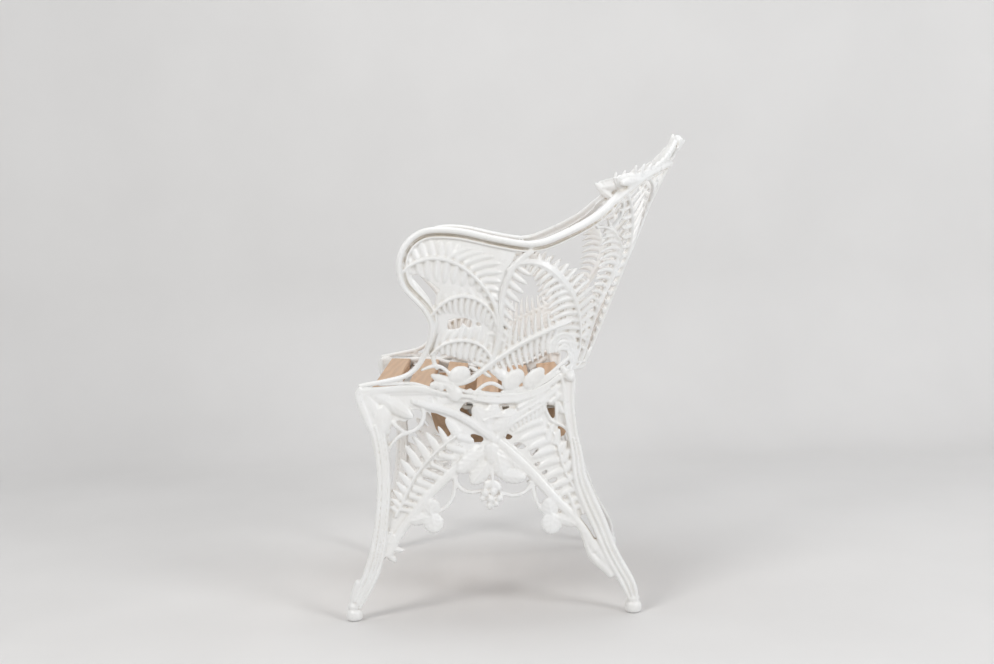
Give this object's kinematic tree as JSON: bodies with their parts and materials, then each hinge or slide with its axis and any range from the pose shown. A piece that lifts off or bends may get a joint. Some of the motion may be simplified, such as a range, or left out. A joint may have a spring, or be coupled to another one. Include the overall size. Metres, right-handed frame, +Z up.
{
  "type": "garden armchair",
  "caption": "Cast iron garden armchair with pierced fern and bramble openwork frames, a wrap-round fern back and arms, and a slatted wooden seat.",
  "frame": {"origin": "on the floor under the middle of the chair, at the centre of the bounding box's base", "axes": "+Z up, -Y towards the front of the chair, +X towards the sitter's left arm"},
  "size_m": [0.593, 0.6406, 0.8409],
  "materials": {
    "white_enamel": "semi-gloss white enamel on cast iron",
    "slat_wood": "oiled hardwood",
    "hardware_steel": "zinc plated steel"
  },
  "bodies": {
    "root": {"leg_frame_left": "white_enamel", "leg_frame_right": "white_enamel", "arm_panel_left": "white_enamel", "arm_panel_right": "white_enamel", "back_panel": "white_enamel", "seat_slat_1": "slat_wood", "seat_slat_2": "slat_wood", "seat_slat_3": "slat_wood", "seat_slat_4": "slat_wood", "seat_slat_5": "slat_wood", "seat_slat_6": "slat_wood", "seat_cleat_left": "slat_wood", "seat_cleat_right": "slat_wood", "slat_screws": "hardware_steel", "slat_screw_washers": "hardware_steel", "panel_bolts": "hardware_steel", "panel_washers": "hardware_steel", "panel_nuts": "hardware_steel", "flange_bolts": "hardware_steel", "flange_washers": "hardware_steel", "flange_nuts": "hardware_steel", "post_bolts": "hardware_steel", "post_washers": "hardware_steel", "post_nuts": "hardware_steel", "cleat_screws": "hardware_steel"}
  },
  "joints": []
}
